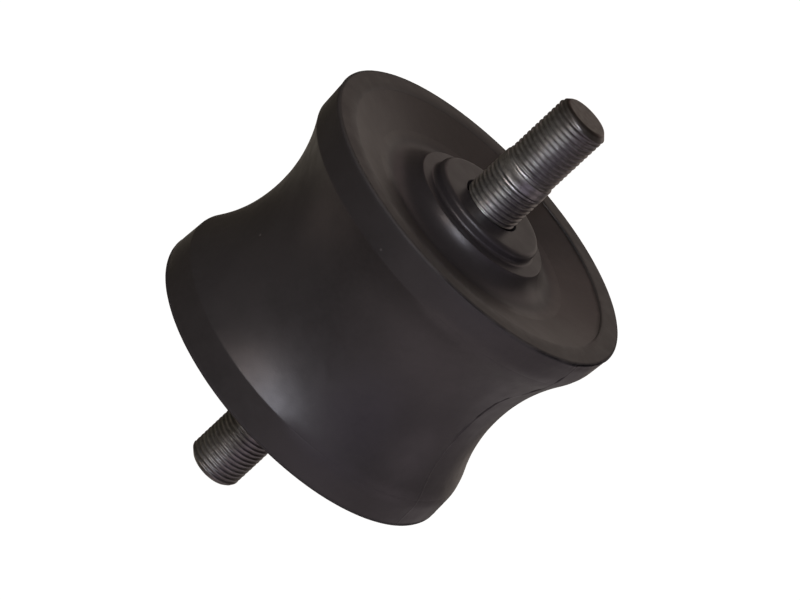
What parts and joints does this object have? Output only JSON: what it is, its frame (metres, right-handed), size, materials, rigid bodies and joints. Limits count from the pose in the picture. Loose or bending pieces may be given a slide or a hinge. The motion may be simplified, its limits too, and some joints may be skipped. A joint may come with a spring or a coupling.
{
  "type": "engine mount",
  "caption": "Round waisted rubber engine mount with a dished steel plate, a stepped hub and a threaded stud at each end.",
  "frame": {"origin": "centre of the lower seat, the flat face of the lower hub that bears on its bracket, on the stud axis", "axes": "+Z along the stud axis from the lower seat through the rubber body to the upper stud; the part is turned about +Z, so +X and +Y are any two directions across it"},
  "size_m": [0.0998, 0.0998, 0.1465],
  "materials": {
    "rubber": "satin moulded black rubber",
    "plate_steel": "matt black coated steel",
    "hub_steel": "satin black coated steel",
    "stud_steel": "dark phosphated steel thread"
  },
  "bodies": {
    "root": {"rubber_body": "rubber", "upper_plate": "plate_steel", "lower_plate": "plate_steel", "upper_hub": "hub_steel", "lower_hub": "hub_steel", "upper_stud": "stud_steel", "lower_stud": "stud_steel"}
  },
  "joints": []
}
